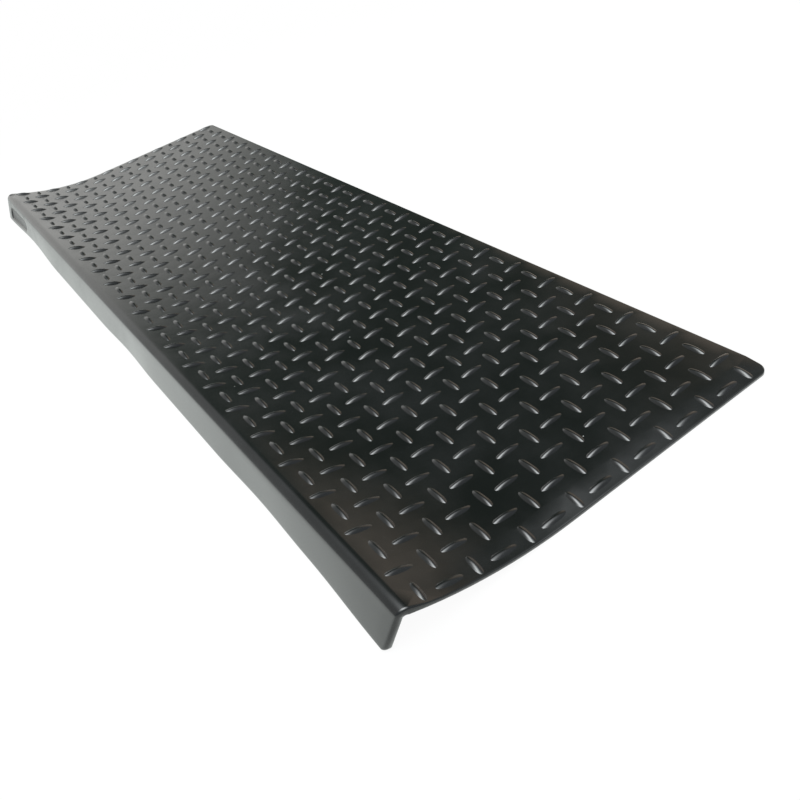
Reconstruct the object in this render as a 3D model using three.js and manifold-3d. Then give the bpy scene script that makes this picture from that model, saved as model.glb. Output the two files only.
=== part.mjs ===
// Anti slip stair tread mat: one moulded rubber sheet with a field of raised grip ridges
// and a lip that hooks over the nosing of a stair. It is modelled as it lies on a floor:
// flat at the back, and lifted at the front by the lip that it stands on.
// Millimetres, +X along the stair, +Y from the nose to the back edge, +Z up.
import * as THREE from "three";
import { ConvexGeometry } from "three/addons/geometries/ConvexGeometry.js";
import { mergeVertices } from "three/addons/utils/BufferGeometryUtils.js";
import Module from "manifold-3d";

const wasm = await Module();
wasm.setup();

// Sheet
const length = 755.65;
const treadDepth = 250; // back edge to the nose corner, along the top face
const thickness = 4;
const edgeBevel = 0.8;
const backCornerRadius = 8;
const cornerSteps = 5;

// Nose and lip
const noseInnerRadius = 2;
const noseSteps = 6;
const lipTurn = THREE.MathUtils.degToRad(90); // from the tread's slope to the lip's
const lipHeight = 25.5; // nose corner to the lip's lower edge, along the outer face
const lipSetback = 6; // how far the lip's ends have slanted inward at its lower edge
const lipCornerRadius = 4;

// Ridges
const rowPitch = 15.875;
const columnPitch = 17.35;
const backMargin = 12; // back edge to the middle of the last row
const leastEndMargin = 3.5; // sheet end to the middle of the end column, at least
const plainBorder = 1; // strip along each end that no ridge crosses
const ridgeLength = 15.6;
const ridgeWidth = 4.2;
const ridgeHeight = 1.6;
const ridgeShoulder = 0.62; // part of the half length up to which a ridge is at its full height
const ridgeRoot = 0.5; // how far a ridge reaches into the sheet

// Bare oblong field sunk into the outer face of the lip, near its left end
const fieldLength = 64;
const fieldWidth = 11;
const fieldDepth = 0.5;
const fieldFromEnd = 16;
const fieldSteps = 8;

// Rest: the rows next to the nose that the lip holds off the floor
const liftedRows = 6;

// Distances along the top face, from the back edge over the nose and down the lip
const noseRadius = noseInnerRadius + thickness;
const noseTangent = noseRadius * Math.tan(lipTurn / 2);
const noseStart = treadDepth - noseTangent;
const noseEnd = noseStart + noseRadius * lipTurn;
const lipEdge = noseEnd + lipHeight - noseTangent;
const rows = 1 + Math.floor((noseStart - backMargin - rowPitch / 2) / rowPitch);
const columns = 1 + Math.floor((length - 2 * leastEndMargin) / columnPitch);
const patternFront = backMargin + (rows - 0.5) * rowPitch;
const liftStart = patternFront - liftedRows * rowPitch;

// The sheet's side view as runs of constant curvature along the top face.
function runsFor(lift) {
  return [
    { span: liftStart, curve: 0 },
    { span: patternFront - liftStart, curve: lift / (patternFront - liftStart) },
    { span: noseStart - patternFront, curve: 0 },
    { span: noseEnd - noseStart, curve: -1 / noseRadius },
    { span: Infinity, curve: 0 },
  ];
}

// Depth y from the back edge and height z of the point s along the top face and n above
// the underside. The heading is the slope of the sheet there, rising towards the nose.
function bend(s, n, runs) {
  let y = 0;
  let z = thickness;
  let heading = 0;
  let left = s;
  for (const run of runs) {
    const step = Math.min(left, run.span);
    const turned = heading + step * run.curve;
    if (run.curve === 0) {
      y -= step * Math.cos(heading);
      z += step * Math.sin(heading);
    } else {
      y -= (Math.sin(turned) - Math.sin(heading)) / run.curve;
      z += (Math.cos(heading) - Math.cos(turned)) / run.curve;
    }
    heading = turned;
    left -= step;
    if (left <= 0) break;
  }
  const below = thickness - n;
  return { y: y - below * Math.sin(heading), z: z - below * Math.cos(heading), heading };
}

// The lift at which the inner edge of the lip just reaches the floor, found by halving.
function restingLift() {
  let low = 0;
  let high = lipTurn;
  for (let i = 0; i < 60; i++) {
    const middle = (low + high) / 2;
    if (bend(lipEdge, 0, runsFor(middle)).z > 0) high = middle;
    else low = middle;
  }
  return low;
}

const restRuns = runsFor(restingLift());

function place(x, s, n) {
  const point = bend(s, n, restRuns);
  return new THREE.Vector3(x, point.y, point.z);
}

// A solid for joining and cutting, from any closed geometry.
function solidFrom(geometry, matrix = new THREE.Matrix4()) {
  const bare = new THREE.BufferGeometry();
  bare.setAttribute("position", geometry.getAttribute("position").clone());
  if (geometry.index) bare.setIndex(geometry.index.clone());
  bare.applyMatrix4(matrix);
  const merged = mergeVertices(bare, 1e-4);
  const triVerts = new Uint32Array(merged.index.array);
  const vertProperties = merged.attributes.position.array;
  return new wasm.Manifold(new wasm.Mesh({ numProp: 3, vertProperties, triVerts }));
}

// Half the length at a distance along the top face: less and less down the lip.
function halfLength(s) {
  const share = THREE.MathUtils.clamp((s - noseStart) / (lipEdge - noseStart), 0, 1);
  return length / 2 - lipSetback * share;
}

// Plan of the sheet as pairs of outline points: the side wall and the edge of the top face.
function outlinePairs() {
  const pairs = [];
  function addCorner(radius, edge, inward, from, to) {
    for (let k = 0; k <= cornerSteps; k++) {
      const turn = THREE.MathUtils.lerp(from, to, k / cornerSteps);
      const point = (r) => {
        const s = edge + inward * (radius - r * Math.cos(turn));
        return { x: halfLength(s) - radius + r * Math.sin(turn), s };
      };
      pairs.push({ wall: point(radius), top: point(radius - edgeBevel) });
    }
  }
  function addStation(s) {
    const x = halfLength(s);
    pairs.push({ wall: { x, s }, top: { x: x - edgeBevel, s } });
  }
  addCorner(backCornerRadius, 0, 1, 0, Math.PI / 2);
  for (let row = 0; row <= liftedRows; row++) addStation(liftStart + row * rowPitch);
  for (let k = 0; k <= noseSteps; k++) {
    addStation(THREE.MathUtils.lerp(noseStart, noseEnd, k / noseSteps));
  }
  addCorner(lipCornerRadius, lipEdge, -1, Math.PI / 2, 0);
  return pairs;
}

// The bare sheet: six-sided cross-sections lofted from the back edge to the lip's edge.
function sheetSolid() {
  const wallTop = thickness - edgeBevel;
  const rings = outlinePairs().map(({ wall, top }) => [
    place(-wall.x, wall.s, 0),
    place(wall.x, wall.s, 0),
    place(wall.x, wall.s, wallTop),
    place(top.x, top.s, thickness),
    place(-top.x, top.s, thickness),
    place(-wall.x, wall.s, wallTop),
  ]);
  const sides = rings[0].length;
  const index = [];
  for (let i = 0; i + 1 < rings.length; i++) {
    for (let k = 0; k < sides; k++) {
      const a = i * sides + k;
      const b = i * sides + ((k + 1) % sides);
      index.push(a, b, a + sides, b, b + sides, a + sides);
    }
  }
  const last = (rings.length - 1) * sides;
  for (let k = 1; k + 1 < sides; k++) {
    index.push(0, k + 1, k);
    index.push(last, last + k, last + k + 1);
  }
  const geometry = new THREE.BufferGeometry().setFromPoints(rings.flat());
  geometry.setIndex(index);
  return solidFrom(geometry);
}

// A lens-shaped ridge along local X, pointed at both ends, with a crest that falls to them.
// Its sloped faces run on below the sheet's face, to a root inside the sheet.
function ridgeGeometry() {
  const shoulder = (ridgeLength / 2) * ridgeShoulder;
  const side = ridgeWidth / 2;
  const spread = (ridgeHeight + ridgeRoot) / ridgeHeight;
  const points = [];
  for (const end of [-1, 1]) {
    const crest = new THREE.Vector3(end * shoulder, 0, ridgeHeight);
    const foot = [
      new THREE.Vector3((end * ridgeLength) / 2, 0, 0),
      new THREE.Vector3(end * shoulder, side, 0),
      new THREE.Vector3(end * shoulder, -side, 0),
    ];
    points.push(crest, ...foot.map((point) => point.sub(crest).multiplyScalar(spread).add(crest)));
  }
  return new ConvexGeometry(points);
}

// Ridges in turn along and across the sheet, each row lying in one plane of the tread. Those
// that the ends of the sheet leave no room for are shorter.
function ridgeSolids() {
  const ridge = ridgeGeometry();
  const across = new THREE.Vector3(1, 0, 0);
  const reach = length / 2 - plainBorder;
  const solids = [];
  for (let row = 0; row < rows; row++) {
    const s = backMargin + row * rowPitch;
    const back = place(0, s - rowPitch / 2, thickness);
    const front = place(0, s + rowPitch / 2, thickness);
    const forward = front.clone().sub(back).normalize();
    const up = forward.clone().cross(across);
    for (let column = 0; column < columns; column++) {
      const x = (column - (columns - 1) / 2) * columnPitch;
      const lengthwise = (row + column) % 2 === 1;
      const along = lengthwise ? across : forward;
      const side = up.clone().cross(along);
      const start = Math.max(x - ridgeLength / 2, -reach);
      const end = Math.min(x + ridgeLength / 2, reach);
      const centre = back.clone().lerp(front, 0.5).setX(lengthwise ? (start + end) / 2 : x);
      const matrix = new THREE.Matrix4().makeBasis(along, side, up).setPosition(centre);
      if (lengthwise) matrix.scale(new THREE.Vector3((end - start) / ridgeLength, 1, 1));
      solids.push(solidFrom(ridge, matrix));
    }
  }
  return solids;
}

// Cutter for the oblong field, from its floor to clear of the lip's outer face.
function fieldCutter() {
  const radius = fieldWidth / 2;
  const reach = fieldLength / 2 - radius;
  const shape = new THREE.Shape();
  shape.absarc(reach, 0, radius, -Math.PI / 2, Math.PI / 2);
  shape.absarc(-reach, 0, radius, Math.PI / 2, (3 * Math.PI) / 2);
  const geometry = new THREE.ExtrudeGeometry(shape, {
    depth: 2 * fieldDepth,
    bevelEnabled: false,
    curveSegments: fieldSteps,
  });
  geometry.translate(0, 0, -fieldDepth);
  const top = place(0, noseEnd, thickness);
  const foot = place(0, lipEdge, thickness);
  const upward = top.clone().sub(foot).normalize();
  const across = new THREE.Vector3(1, 0, 0);
  const centre = top.clone().lerp(foot, 0.5).setX(-length / 2 + fieldFromEnd + fieldLength / 2);
  const matrix = new THREE.Matrix4();
  matrix.makeBasis(across, upward, across.clone().cross(upward)).setPosition(centre);
  return solidFrom(geometry, matrix);
}

function matGeometry() {
  const joined = wasm.Manifold.union([sheetSolid(), ...ridgeSolids()]);
  const mesh = joined.subtract(fieldCutter()).getMesh();
  const geometry = new THREE.BufferGeometry();
  geometry.setAttribute("position", new THREE.BufferAttribute(mesh.vertProperties, 3));
  geometry.setIndex(new THREE.BufferAttribute(mesh.triVerts, 1));
  geometry.computeBoundingBox();
  const { min, max } = geometry.boundingBox;
  geometry.translate(0, -(min.y + max.y) / 2, 0);
  const faceted = geometry.toNonIndexed();
  faceted.computeVertexNormals();
  return faceted;
}

const rubber = new THREE.MeshStandardMaterial({ color: 0x17191a, roughness: 0.42, metalness: 0 });
const treadMat = new THREE.Mesh(matGeometry(), rubber);
treadMat.name = "tread_mat";

const part = new THREE.Group();
part.add(treadMat);

export default part;
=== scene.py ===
import math

import bmesh
import bpy
from mathutils import Euler, Matrix, Vector
from mathutils.geometry import delaunay_2d_cdt


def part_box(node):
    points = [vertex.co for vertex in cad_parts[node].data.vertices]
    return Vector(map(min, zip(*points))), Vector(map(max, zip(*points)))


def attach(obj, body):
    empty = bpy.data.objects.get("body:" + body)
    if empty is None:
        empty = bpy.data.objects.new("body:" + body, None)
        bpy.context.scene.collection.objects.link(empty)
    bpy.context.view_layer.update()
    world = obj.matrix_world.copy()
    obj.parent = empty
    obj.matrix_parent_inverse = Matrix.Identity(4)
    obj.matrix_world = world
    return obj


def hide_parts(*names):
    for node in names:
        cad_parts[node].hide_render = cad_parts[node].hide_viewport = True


# Looks of the anti slip stair tread mat: one moulded rubber sheet, its field of ridges, and
# the studio around it. Metres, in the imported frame: +X along the stair, +Y from the nose to
# the back edge, +Z up.
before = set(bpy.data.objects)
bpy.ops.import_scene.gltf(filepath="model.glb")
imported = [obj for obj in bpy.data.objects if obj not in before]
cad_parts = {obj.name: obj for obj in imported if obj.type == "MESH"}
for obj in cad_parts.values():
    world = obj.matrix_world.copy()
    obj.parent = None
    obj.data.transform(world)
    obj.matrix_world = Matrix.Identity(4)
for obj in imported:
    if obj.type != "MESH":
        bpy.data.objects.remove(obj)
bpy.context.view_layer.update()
NODE = "tread_mat"
LOW, HIGH = (Vector(corner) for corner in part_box(NODE))

MM = 0.001

# Sheet: distances s run along the top face, from the back edge over the nose and down the
# lip. Heights n are above the underside.
HALF_LENGTH = (HIGH.x - LOW.x) / 2
TREAD_DEPTH = 250 * MM
THICKNESS = 4 * MM
BACK_CORNER_RADIUS = 6 * MM
LIP_CORNER_RADIUS = 2.5 * MM
CORNER_STEPS = 8
TOP_ROUNDING = 0.9 * MM
LIP_END_ROUNDING = 2.2 * MM
TOP_ROUNDING_STEPS = 5
BOTTOM_ROUNDING = 0.4 * MM
BOTTOM_ROUNDING_STEPS = 2

# Ends of the sheet: a little longer than the plain solid. The right one thins to its edge.
END_REACH = 0.9 * MM
END_SLOPE = 13 * MM
END_THINNING = 0.47

# Nose and lip
NOSE_RADIUS = 6 * MM
NOSE_STEPS = 12
LIP_TURN = math.radians(90)
LIP_HEIGHT = 25.5 * MM
LIP_SETBACK = 4.5 * MM
LIP_ROWS = 6
NOSE_TANGENT = NOSE_RADIUS * math.tan(LIP_TURN / 2)
NOSE_START = TREAD_DEPTH - NOSE_TANGENT
NOSE_END = NOSE_START + NOSE_RADIUS * LIP_TURN
LIP_EDGE = NOSE_END + LIP_HEIGHT - NOSE_TANGENT

# Places along the stair where the soft lip leans out or in: middle, reach, lean at its edge
LIP_BENDS = (
    (378 * MM, 80 * MM, 2.2 * MM),
    (245 * MM, 60 * MM, -1.0 * MM),
    (20 * MM, 60 * MM, -1.1 * MM),
    (-275 * MM, 95 * MM, -2.2 * MM),
)

# Ridges
ROW_PITCH = 15.875 * MM
COLUMN_PITCH = 17.35 * MM
BACK_MARGIN = 12 * MM
ROWS = 15
COLUMNS = 44
RIDGE_HALF_LENGTH = 7.8 * MM
RIDGE_HALF_WIDTH = 2.1 * MM
RIDGE_HEIGHT = 1.6 * MM
RIDGE_FULLNESS = 3.0
RIDGE_BLUNTNESS = 0.55
RIDGE_STATIONS = 12
RIDGE_STRIPS = 8
PLAIN_BORDER = 0.5 * MM
RIDGE_REACH = HALF_LENGTH + END_REACH - TOP_ROUNDING - PLAIN_BORDER

# Oblong field sunk into the lip
FIELD_LENGTH = 64 * MM
FIELD_RADIUS = 5.5 * MM
FIELD_DEPTH = 0.8 * MM
FIELD_FROM_END = 16 * MM
FIELD_EDGE = 1.1 * MM
FIELD_STEPS = 10
FIELD_CENTRE = (-HALF_LENGTH + FIELD_FROM_END + FIELD_LENGTH / 2, (NOSE_END + LIP_EDGE) / 2)
FIELD_HALF = FIELD_LENGTH / 2 - FIELD_RADIUS

# Section of the field's rim: ways outward as shares of its edge, and shares of its depth
FIELD_RIM = ((1.0, 0.0), (0.35, 0.2), (0.0, 0.6), (-0.35, 1.0))

# Rest: the rows next to the nose that the lip holds off the floor
LIFTED_ROWS = 6
PATTERN_FRONT = BACK_MARGIN + (ROWS - 0.5) * ROW_PITCH
LIFT_START = PATTERN_FRONT - LIFTED_ROWS * ROW_PITCH

# Rubber: its colours, gloss and grain, and how fine and how high each unevenness is
BLACK = (0.0042, 0.0050, 0.0048, 1)
SMUDGED = (0.0100, 0.0110, 0.0112, 1)
DUST = (0.55, 0.56, 0.53, 1)
SMUDGE_SCALE = 14.0
CLOUD_SCALE = 55.0
WAVE_SCALE = 22.0
WAVE_HEIGHT = 0.3 * MM
GRAIN_SCALE = 2600.0
GRAIN_HEIGHT = 0.03 * MM
INDEX = 1.5
GLOSSY = 0.18
FINE_GRAIN = 0.1
MATTE = 0.36
COARSE_GRAIN = 0.4

# Specks of dust: how fine the cells are, where in a cell a speck fades, how few have one
SPECK_SCALE = 32.0
SPECK_EDGE = (0.006, 0.014)
SPECK_RARITY = (0.91, 0.99)

# Camera of the photograph
CAMERA_PLACE = (586.16 * MM, -188.87 * MM, 304.28 * MM)
CAMERA_AZIMUTH = math.radians(64.674)
CAMERA_DOWN = math.radians(37.990)
CAMERA_ROLL = math.radians(-16.139)
CAMERA_SENSOR = 36.0
CAMERA_LENS = 36.45

# Studio
SKY_STRENGTH = 7.5
SKY_TIGHTNESS = 12.0
SKY_COLOUR = (0.96, 1.0, 1.0, 1)
SKY_MIDDLE = (-135, 82)
WALL_COLOUR = (0.27, 0.29, 0.31, 1)
WHITE = (1, 1, 1, 1)
FLOOR_RADIUS = 8.0
FLOOR_SIDES = 96
FLOOR_DROP = 0.0002
FLOOR_GREY = (0.9, 0.9, 0.9, 1)
FLOOR_COLOUR = (0.95, 1.0, 0.97, 1)
# Painted shade on the floor as the gloss sees it: how much of its glow is left at the left and
# right of the mat
FLOOR_LEFT_PAINTED_SHADE = 0.62
FLOOR_RIGHT_PAINTED_SHADE = 0.6

# Floor near the mat: a little under white, so that it takes the shadow, and where that ends
SHADOW_WHITENESS = 0.95
SHADOW_REACH = (0.45, 0.8)


def part_of(value, first, last):
    """How far a value has gone from one place to another, from 0 to 1."""
    return min(max((value - first) / (last - first), 0.0), 1.0)


def runs_for(lift):
    """The sheet's side view as runs of constant curvature: span and curvature."""
    return (
        (LIFT_START, 0.0),
        (PATTERN_FRONT - LIFT_START, lift / (PATTERN_FRONT - LIFT_START)),
        (NOSE_START - PATTERN_FRONT, 0.0),
        (NOSE_END - NOSE_START, -1 / NOSE_RADIUS),
        (math.inf, 0.0),
    )


def bend(s, n, runs):
    """Depth y from the back edge and height z of a point of the sheet."""
    y, z, heading, left = 0.0, THICKNESS, 0.0, s
    for span, curve in runs:
        step = min(left, span)
        turned = heading + step * curve
        if curve == 0:
            y -= step * math.cos(heading)
            z += step * math.sin(heading)
        else:
            y -= (math.sin(turned) - math.sin(heading)) / curve
            z += (math.cos(heading) - math.cos(turned)) / curve
        heading = turned
        left -= step
        if left <= 0:
            break
    below = THICKNESS - n
    return y - below * math.sin(heading), z - below * math.cos(heading)


def resting_runs():
    """The runs at the lift where the inner edge of the lip just reaches the floor."""
    low, high = 0.0, LIP_TURN
    for _ in range(60):
        middle = (low + high) / 2
        if bend(LIP_EDGE, 0, runs_for(middle))[1] > 0:
            high = middle
        else:
            low = middle
    return runs_for(low)


class Sheet:
    """A mesh whose vertices have flat places (x, s, n), bent into the mat's resting shape."""

    def __init__(self):
        self.runs = resting_runs()
        self.numbers = {}
        self.points = []
        self.faces = []
        self.creases = set()
        self.matte_faces = set()

    def vertex(self, x, s, n):
        key = (round(x / MM, 4), round(s / MM, 4), round(n / MM, 4))
        if key not in self.numbers:
            self.numbers[key] = len(self.points)
            y, z = bend(s, n * (1 - end_thinning(x, s)), self.runs)
            self.points.append((x, HIGH.y + y - lip_lean(x, s), z))
        return self.numbers[key]

    def face(self, corners, matte=False):
        """Adds a face, and leaves out corners that have fallen together."""
        kept = [c for i, c in enumerate(corners) if c != corners[i - 1]]
        if len(kept) < 3:
            return
        if matte:
            self.matte_faces.add(len(self.faces))
        self.faces.append(kept)

    def band(self, first, second, closed=True, matte=False):
        """Quads between two rows of vertices of the same count."""
        for i in range(0 if closed else 1, len(first)):
            self.face((first[i - 1], first[i], second[i], second[i - 1]), matte)

    def crease(self, loop):
        for i in range(len(loop)):
            self.creases.add(tuple(sorted((loop[i - 1], loop[i]))))

    def fill(self, outline, holes, inner, n, matte=False):
        """Triangles between an outline and the holes in it, through some inner points."""
        places = []
        edges = []
        owner = []
        for number, loop in enumerate([outline, *holes]):
            start = len(places)
            places += loop
            owner += [number] * len(loop)
            edges += [(start + i, start + (i + 1) % len(loop)) for i in range(len(loop))]
        places += inner
        owner += [0] * len(inner)
        flat = [Vector((x / MM, s / MM)) for x, s in places]
        _, _, triangles, origins, _, _ = delaunay_2d_cdt(flat, edges, [], 1, 1e-5)
        for triangle in triangles:
            sources = [origins[corner][0] for corner in triangle]
            owners = {owner[source] for source in sources}
            if len(owners) == 1 and owners != {0}:
                continue
            self.face([self.vertex(*places[source], n) for source in sources], matte)


def column_lines():
    """Places along the stair: the borders and the middles of the columns."""
    count = COLUMNS - 2
    return [i * COLUMN_PITCH / 2 for i in range(-count, count + 1)]


def row_lines():
    """Distances along the top face: half rows, then steps round the nose and down the lip."""
    half_rows = [BACK_MARGIN + i * ROW_PITCH / 2 for i in range(2 * ROWS - 1)]
    nose = [NOSE_START + (NOSE_END - NOSE_START) * i / NOSE_STEPS for i in range(NOSE_STEPS + 1)]
    straight = LIP_EDGE - LIP_CORNER_RADIUS - NOSE_END
    lip = [NOSE_END + straight * i / (LIP_ROWS - 1) for i in range(1, LIP_ROWS)]
    return half_rows + nose + lip


def half_length(s):
    """Half the sheet's length at a distance along the top face: less and less down the lip."""
    return HALF_LENGTH + END_REACH - LIP_SETBACK * part_of(s, NOSE_START, LIP_EDGE)


def end_thinning(x, s):
    """Share of the thickness that the sheet loses near its right end, up to the nose."""
    near_end = part_of(x, HALF_LENGTH - END_SLOPE, HALF_LENGTH)
    return END_THINNING * near_end * part_of(s, NOSE_START, NOSE_START - END_SLOPE)


def lip_lean(x, s):
    """How far the lip leans out at a place: nothing at the nose, most at its edge."""
    lean = 0.0
    for middle, reach, most in LIP_BENDS:
        lean += most * (1 + math.cos(math.pi * part_of(abs(x - middle), 0, reach))) / 2
    return lean * part_of(s, NOSE_END, LIP_EDGE)


def edge_line():
    """The sheet's plan at its walls, as one loop of places (x, s) with the way inward."""
    across = column_lines()
    along = row_lines()[:-1]
    quarter = math.pi / 2
    line = []

    def corner(side, edge, radius, start):
        centre_s = radius if edge == 0 else edge - radius
        for i in range(CORNER_STEPS + 1):
            turn = start + quarter * i / CORNER_STEPS
            s = centre_s + radius * math.sin(turn)
            x = side * (half_length(s) - radius) + radius * math.cos(turn)
            line.append((x, s, -math.cos(turn), -math.sin(turn)))

    line += [(x, 0.0, 0.0, 1.0) for x in across]
    corner(1, 0, BACK_CORNER_RADIUS, -quarter)
    line += [(half_length(s), s, -1.0, 0.0) for s in along]
    corner(1, LIP_EDGE, LIP_CORNER_RADIUS, 0)
    line += [(x, LIP_EDGE, 0.0, -1.0) for x in reversed(across)]
    corner(-1, LIP_EDGE, LIP_CORNER_RADIUS, quarter)
    line += [(-half_length(s), s, 1.0, 0.0) for s in reversed(along)]
    corner(-1, 0, BACK_CORNER_RADIUS, 2 * quarter)
    return line


def top_rounding(s, inward_x):
    """Radius of the top edge: larger at the ends of the nose and the lip."""
    growth = (LIP_END_ROUNDING - TOP_ROUNDING) * part_of(s, NOSE_START - NOSE_RADIUS, NOSE_END)
    return TOP_ROUNDING + growth * abs(inward_x)


def edge_ring(inset_share, drop_share):
    """The edge line moved inward and down by shares of the rounding of the top edge."""
    ring = []
    for x, s, inward_x, inward_s in edge_line():
        radius = top_rounding(s, inward_x)
        inset = inset_share * radius
        place = x + inward_x * inset, s + inward_s * inset
        ring.append((*place, THICKNESS - drop_share * radius))
    return ring


def bottom_ring(inset, n):
    """The edge line moved inward, at a height above the underside."""
    return [(x + inset * in_x, s + inset * in_s, n) for x, s, in_x, in_s in edge_line()]


def add_ridge(sheet, row, column):
    """One lens-shaped ridge with blunt tips. Returns the loop of its foot as places (x, s)."""
    x = (column - (COLUMNS - 1) / 2) * COLUMN_PITCH
    s = BACK_MARGIN + row * ROW_PITCH
    lengthwise = (row + column) % 2 == 1
    half = RIDGE_HALF_LENGTH
    if lengthwise:
        start, end = max(x - half, -RIDGE_REACH), min(x + half, RIDGE_REACH)
        x, half = (start + end) / 2, (end - start) / 2
    grid = []
    for i in range(RIDGE_STATIONS + 1):
        part = -math.cos(math.pi * i / RIDGE_STATIONS)
        width = RIDGE_HALF_WIDTH * max(0.0, 1 - abs(part) ** RIDGE_FULLNESS) ** RIDGE_BLUNTNESS
        height = RIDGE_HEIGHT * (1 - part**2)
        line = []
        for k in range(RIDGE_STRIPS + 1):
            share = 2 * k / RIDGE_STRIPS - 1
            u, v = half * part, width * share
            place = (x + u, s + v) if lengthwise else (x - v, s + u)
            line.append((*place, THICKNESS + height * (1 - share**2)))
        grid.append(line)
    numbers = [[sheet.vertex(*point) for point in line] for line in grid]
    for i in range(1, len(numbers)):
        sheet.band(numbers[i - 1], numbers[i], closed=False)
    inner = grid[1:-1]
    foot = [grid[0][0], *(line[-1] for line in inner)]
    foot += [grid[-1][0], *(line[0] for line in reversed(inner))]
    sheet.crease([sheet.vertex(*point) for point in foot])
    return [point[:2] for point in foot]


def field_loop(offset):
    """The outline of the oblong field on the lip, made larger by an offset."""
    centre_x, centre_s = FIELD_CENTRE
    radius = FIELD_RADIUS + offset
    loop = []
    for side, start in ((1, -math.pi / 2), (-1, math.pi / 2)):
        for i in range(FIELD_STEPS + 1):
            turn = start + math.pi * i / FIELD_STEPS
            x = centre_x + side * FIELD_HALF + radius * math.cos(turn)
            loop.append((x, centre_s + radius * math.sin(turn)))
    return loop


def in_field(place):
    """Whether a place lies in the oblong field or close to it."""
    along = max(0.0, abs(place[0] - FIELD_CENTRE[0]) - FIELD_HALF)
    return math.hypot(along, place[1] - FIELD_CENTRE[1]) < FIELD_RADIUS + 2 * FIELD_EDGE


def add_field(sheet):
    """The oblong field's rounded edge, wall and floor. Returns its outer loop."""
    loops = []
    for offset, depth in FIELD_RIM:
        places = field_loop(offset * FIELD_EDGE)
        height = THICKNESS - depth * FIELD_DEPTH
        loops.append([sheet.vertex(*place, height) for place in places])
    for outer, inner in zip(loops, loops[1:]):
        sheet.band(outer, inner)
    floor = field_loop(FIELD_RIM[-1][0] * FIELD_EDGE)
    sheet.fill(floor, [], [], THICKNESS - FIELD_DEPTH, matte=True)
    return field_loop(FIELD_EDGE)


def grid_places(skip):
    """Crossings of the column and row lines, without those that the test skips."""
    places = []
    for i, x in enumerate(column_lines()):
        for j, s in enumerate(row_lines()):
            if not skip(i, j, (x, s)):
                places.append((x, s))
    return places


def on_ridge(i, j):
    """Whether a crossing is the middle of a ridge, or close to the tip of one. The first
    lines of each kind are a border of the columns and a middle of the rows."""
    return i % 2 == 1 and j < 2 * ROWS - 1


def add_rim(sheet):
    """The walls: rounded at the top, and a little at the bottom."""
    rings = []
    for i in range(TOP_ROUNDING_STEPS + 1):
        turn = math.pi / 2 * i / TOP_ROUNDING_STEPS
        rings.append(edge_ring(1 - math.sin(turn), 1 - math.cos(turn)))
    for i in range(BOTTOM_ROUNDING_STEPS + 1):
        turn = math.pi / 2 * i / BOTTOM_ROUNDING_STEPS
        inset = BOTTOM_ROUNDING * (1 - math.cos(turn))
        rings.append(bottom_ring(inset, BOTTOM_ROUNDING * (1 - math.sin(turn))))
    loops = [[sheet.vertex(*point) for point in ring] for ring in rings]
    for upper, lower in zip(loops, loops[1:]):
        sheet.band(upper, lower)


def build_sheet():
    sheet = Sheet()
    feet = []
    for row in range(ROWS):
        for column in range(COLUMNS):
            feet.append(add_ridge(sheet, row, column))
    feet.append(add_field(sheet))
    top = grid_places(lambda i, j, place: on_ridge(i, j) or in_field(place))
    sheet.fill([point[:2] for point in edge_ring(1, 0)], feet, top, THICKNESS)
    bottom = grid_places(lambda i, j, place: False)
    sheet.fill([point[:2] for point in bottom_ring(BOTTOM_ROUNDING, 0)], [], bottom, 0.0)
    add_rim(sheet)
    return sheet


def mesh_object(sheet, name, materials):
    """The sheet as one closed mesh, smooth apart from the feet of its ridges."""
    mesh = bpy.data.meshes.new(name)
    mesh.from_pydata(sheet.points, [], sheet.faces)
    for material in materials:
        mesh.materials.append(material)
    for number in sheet.matte_faces:
        mesh.polygons[number].material_index = 1
    work = bmesh.new()
    work.from_mesh(mesh)
    bmesh.ops.recalc_face_normals(work, faces=work.faces)
    for edge in work.edges:
        ends = tuple(sorted(vertex.index for vertex in edge.verts))
        edge.smooth = ends not in sheet.creases
    for face in work.faces:
        face.smooth = True
    open_edges = sum(1 for edge in work.edges if not edge.is_manifold)
    print(f"{name}: {len(work.faces)} faces, {open_edges} open edges")
    work.to_mesh(mesh)
    work.free()
    piece = bpy.data.objects.new(name, mesh)
    bpy.context.scene.collection.objects.link(piece)
    return piece


def add(tree, kind, inputs=None, **settings):
    """A shader node with its settings, and a value or a link for each named input."""
    node = tree.nodes.new("ShaderNode" + kind)
    for name, value in settings.items():
        setattr(node, name, value)
    for name, value in (inputs or {}).items():
        if isinstance(value, bpy.types.NodeSocket):
            tree.links.new(value, node.inputs[name])
        else:
            node.inputs[name].default_value = value
    return node


def new_material(name):
    material = bpy.data.materials.new(name)
    material.use_nodes = True
    material.node_tree.nodes.clear()
    return material, material.node_tree


def noise(tree, place, scale, detail=2.0, roughness=0.5):
    inputs = {"Vector": place, "Scale": scale, "Detail": detail, "Roughness": roughness}
    return add(tree, "TexNoise", inputs).outputs["Fac"]


def span(tree, value, low, high, to_low=0.0, to_high=1.0, smooth=False):
    """Maps a value from one span to another, within its ends."""
    inputs = {
        "Value": value,
        "From Min": low,
        "From Max": high,
        "To Min": to_low,
        "To Max": to_high,
    }
    kind = "SMOOTHSTEP" if smooth else "LINEAR"
    return add(tree, "MapRange", inputs, interpolation_type=kind).outputs["Result"]


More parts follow.
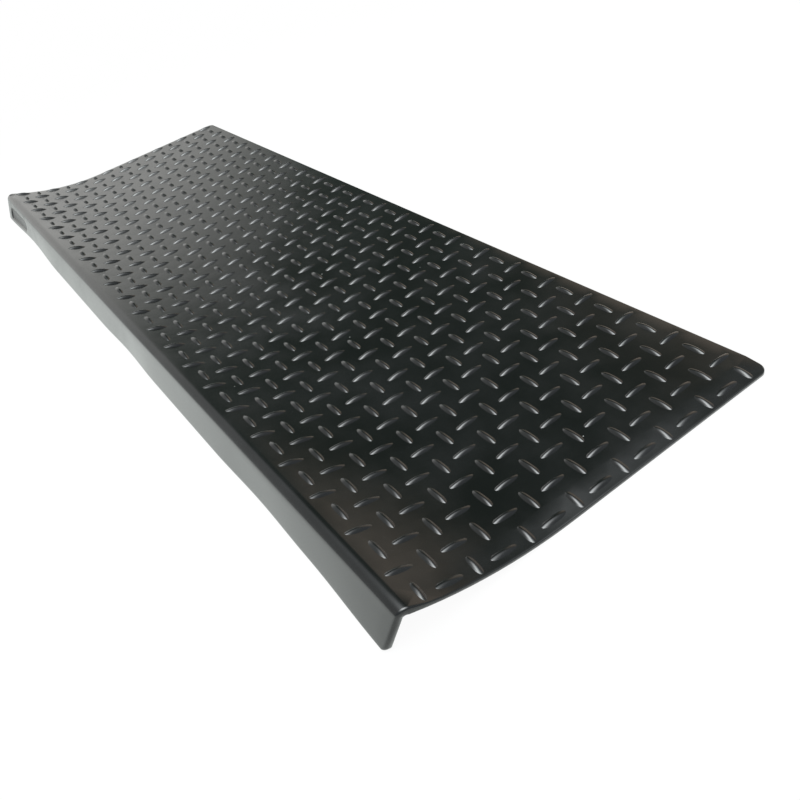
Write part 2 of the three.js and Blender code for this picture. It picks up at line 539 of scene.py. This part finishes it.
def specks(tree, place):
    """Where a few small specks of dust lie on the faces that look up, from 0 to 1."""
    sizes = {"Vector": place, "Scale": SPECK_SCALE}
    cells = add(tree, "TexVoronoi", sizes, voronoi_dimensions="2D")
    middle = span(tree, cells.outputs["Distance"], *SPECK_EDGE, 1.0, 0.0)
    number = add(tree, "SeparateColor", {"Color": cells.outputs["Color"]}).outputs["Red"]
    chosen = span(tree, number, *SPECK_RARITY)
    level = add(tree, "SeparateXYZ", {"Vector": add(tree, "NewGeometry").outputs["Normal"]})
    upward = span(tree, level.outputs["Z"], 0.7, 0.8)
    both = add(tree, "Math", {0: middle, 1: chosen}, operation="MULTIPLY").outputs["Value"]
    return add(tree, "Math", {0: both, 1: upward}, operation="MULTIPLY").outputs["Value"]


def rubber(name, roughness, grain):
    """Black moulded rubber with a waxy skin: faint smudges, a fine grain, a slightly uneven
    face."""
    material, tree = new_material(name)
    place = add(tree, "TexCoord").outputs["Object"]
    smudges = noise(tree, place, SMUDGE_SCALE, 5.0, 0.6)
    clouds = noise(tree, place, CLOUD_SCALE, 3.0)
    tone = add(
        tree,
        "Mix",
        {"Factor": span(tree, smudges, 0.4, 0.7), "A": BLACK, "B": SMUDGED},
        data_type="RGBA",
    )
    dusty = add(
        tree,
        "Mix",
        {"Factor": specks(tree, place), "A": tone.outputs[2], "B": DUST},
        data_type="RGBA",
    )
    gloss = add(
        tree,
        "Math",
        {
            0: span(tree, smudges, 0.35, 0.7, roughness - 0.04, roughness + 0.05),
            1: span(tree, clouds, 0.3, 0.7, -0.02, 0.02),
        },
        operation="ADD",
    )
    waves = add(
        tree,
        "Bump",
        {
            "Height": noise(tree, place, WAVE_SCALE, 1.0),
            "Strength": 0.2,
            "Distance": WAVE_HEIGHT,
        },
    )
    fine = add(
        tree,
        "Bump",
        {
            "Height": noise(tree, place, GRAIN_SCALE, 2.0),
            "Strength": grain,
            "Distance": GRAIN_HEIGHT,
            "Normal": waves.outputs["Normal"],
        },
    )
    shader = add(
        tree,
        "BsdfPrincipled",
        {
            "Base Color": dusty.outputs[2],
            "Roughness": gloss.outputs["Value"],
            "IOR": INDEX,
            "Coat Weight": 1.0,
            "Coat Roughness": gloss.outputs["Value"],
            "Coat IOR": INDEX,
            "Normal": fine.outputs["Normal"],
            "Coat Normal": fine.outputs["Normal"],
        },
    )
    add(tree, "OutputMaterial", {"Surface": shader.outputs["BSDF"]})
    return material


def floor_material():
    """Pale floor that the lens and the gloss see as white, with the mat's shadow on it. The gloss
    sees a painted shade on it to the left and the right of the mat, where its glow is dimmed."""
    material, tree = new_material("studio_floor")
    path = add(tree, "LightPath")
    camera, gloss = path.outputs["Is Camera Ray"], path.outputs["Is Glossy Ray"]
    seen = add(tree, "Math", {0: camera, 1: gloss}, operation="MAXIMUM")
    place = add(tree, "TexCoord").outputs["Object"]
    away = add(tree, "VectorMath", {0: place}, operation="LENGTH").outputs["Value"]
    whiteness = span(tree, away, *SHADOW_REACH, SHADOW_WHITENESS, 1.0, smooth=True)
    share = add(tree, "Math", {0: seen.outputs["Value"], 1: whiteness}, operation="MULTIPLY")
    # Painted shade: the floor's glow for the gloss dims towards the mat's left end and past its
    # right end
    right = add(tree, "SeparateXYZ", {"Vector": place}).outputs["X"]
    to_left = span(tree, right, LOW.x - 0.04, 0.0, FLOOR_LEFT_PAINTED_SHADE, 1.0)
    to_right = span(tree, right, HIGH.x - 0.01, HIGH.x + 0.01, 1.0, FLOOR_RIGHT_PAINTED_SHADE, smooth=True)
    painted_shade = add(tree, "Math", {0: to_left, 1: to_right}, operation="MULTIPLY")
    white = add(tree, "Emission", {"Color": WHITE, "Strength": 1.0})
    mirrored = add(tree, "Emission", {"Color": FLOOR_COLOUR, "Strength": painted_shade.outputs["Value"]})
    plain = add(tree, "BsdfDiffuse", {"Color": FLOOR_GREY})
    bright = add(
        tree,
        "MixShader",
        {0: gloss, 1: white.outputs["Emission"], 2: mirrored.outputs["Emission"]},
    )
    both = add(
        tree,
        "MixShader",
        {0: share.outputs["Value"], 1: plain.outputs["BSDF"], 2: bright.outputs["Shader"]},
    )
    add(tree, "OutputMaterial", {"Surface": both.outputs["Shader"]})
    return material


def add_floor():
    mesh = bpy.data.meshes.new("studio_floor")
    work = bmesh.new()
    bmesh.ops.create_circle(work, cap_ends=True, segments=FLOOR_SIDES, radius=FLOOR_RADIUS)
    bmesh.ops.translate(work, vec=(0, 0, LOW.z - FLOOR_DROP), verts=work.verts)
    work.to_mesh(mesh)
    work.free()
    mesh.materials.append(floor_material())
    floor = bpy.data.objects.new("studio_floor", mesh)
    bpy.context.scene.collection.objects.link(floor)


def bearing(azimuth, elevation):
    """A direction by its turn from -X towards +Y, and its height, in degrees."""
    turn, up = math.radians(azimuth), math.radians(elevation)
    return Vector((-math.cos(turn) * math.cos(up), math.sin(turn) * math.cos(up), math.sin(up)))


def glow(tree, direction, axis, radius, softness):
    """How far a direction lies inside a round patch of the surroundings, from 0 to 1."""
    toward = add(tree, "VectorMath", {0: direction, 1: axis}, operation="DOT_PRODUCT")
    edges = (math.cos(math.radians(radius + change)) for change in (softness, -softness))
    return span(tree, toward.outputs["Value"], *edges, smooth=True)


def add_world():
    """A wide glow overhead, and dim walls with darker and paler parts. The lens sees white."""
    world = bpy.data.worlds.new("studio")
    world.use_nodes = True
    tree = world.node_tree
    tree.nodes.clear()
    direction = add(tree, "TexCoord").outputs["Generated"]
    axes = add(tree, "SeparateXYZ", {"Vector": direction})
    left = add(tree, "Math", {0: axes.outputs["X"], 1: -1.0}, operation="MULTIPLY")
    turn = add(tree, "Math", {0: axes.outputs["Y"], 1: left.outputs["Value"]}, operation="ARCTAN2")
    up = add(tree, "Math", {0: axes.outputs["Z"]}, operation="ARCSINE")

    def band(first, last, top, fade):
        """A part of the wall between two turns from -X towards +Y and up to a height."""
        sides = (
            span(tree, turn.outputs["Value"], *map(math.radians, first), smooth=True),
            span(tree, turn.outputs["Value"], *map(math.radians, last), 1, 0, smooth=True),
            span(tree, up.outputs["Value"], *map(math.radians, top), 1, fade, smooth=True),
        )
        both = add(tree, "Math", {0: sides[0], 1: sides[1]}, operation="MULTIPLY")
        inside = add(tree, "Math", {0: both.outputs["Value"], 1: sides[2]}, operation="MULTIPLY")
        return inside.outputs["Value"]

    patches = (
        (glow(tree, direction, bearing(42, 26), 32, 10), (0.050, 0.066, 0.056)),
        (band((-85, -70), (-8, 20), (30, 60), 0.5), (0.37, 0.38, 0.38)),
        (glow(tree, direction, bearing(0, 4), 23, 7), (0.74, 0.74, 0.72)),
        (glow(tree, direction, bearing(66, 12), 24, 9), (0.52, 0.44, 0.36)),
    )
    colour = WALL_COLOUR
    for share, light in patches:
        mixed = add(
            tree,
            "Mix",
            {"Factor": share, "A": colour, "B": (*light, 1)},
            data_type="RGBA",
        )
        colour = mixed.outputs[2]
    walls = add(tree, "Background", {"Color": colour, "Strength": 1.0})
    toward = add(
        tree,
        "VectorMath",
        {0: direction, 1: bearing(*SKY_MIDDLE)},
        operation="DOT_PRODUCT",
    )
    above = add(tree, "Math", {0: toward.outputs["Value"], 1: 0.0}, operation="MAXIMUM")
    falloff = add(tree, "Math", {0: above.outputs["Value"], 1: SKY_TIGHTNESS}, operation="POWER")
    strength = add(
        tree,
        "Math",
        {0: falloff.outputs["Value"], 1: SKY_STRENGTH},
        operation="MULTIPLY",
    )
    sky = add(tree, "Background", {"Color": SKY_COLOUR, "Strength": strength.outputs["Value"]})
    room = add(
        tree,
        "AddShader",
        {0: walls.outputs["Background"], 1: sky.outputs["Background"]},
    )
    white = add(tree, "Background", {"Color": WHITE, "Strength": 1.0})
    seen = add(tree, "LightPath").outputs["Is Camera Ray"]
    both = add(
        tree,
        "MixShader",
        {0: seen, 1: room.outputs["Shader"], 2: white.outputs["Background"]},
    )
    add(tree, "OutputWorld", {"Surface": both.outputs["Shader"]})
    bpy.context.scene.world = world


def add_camera():
    data = bpy.data.cameras.new("photo_camera")
    data.sensor_fit = "HORIZONTAL"
    data.sensor_width = CAMERA_SENSOR
    data.lens = CAMERA_LENS
    data.clip_start = 0.01
    camera = bpy.data.objects.new("photo_camera", data)
    look = Euler((math.pi / 2 - CAMERA_DOWN, 0, CAMERA_AZIMUTH)).to_matrix()
    turned = look @ Matrix.Rotation(CAMERA_ROLL, 3, "Z")
    camera.matrix_world = Matrix.Translation(CAMERA_PLACE) @ turned.to_4x4()
    bpy.context.scene.collection.objects.link(camera)
    bpy.context.scene.camera = camera


add_camera()
surface = mesh_object(
    build_sheet(),
    "moulded_sheet",
    [rubber("black_rubber", GLOSSY, FINE_GRAIN), rubber("matte_rubber", MATTE, COARSE_GRAIN)],
)
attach(surface, "root")
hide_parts(NODE)
add_floor()
add_world()
bpy.context.scene.view_settings.view_transform = "Standard"
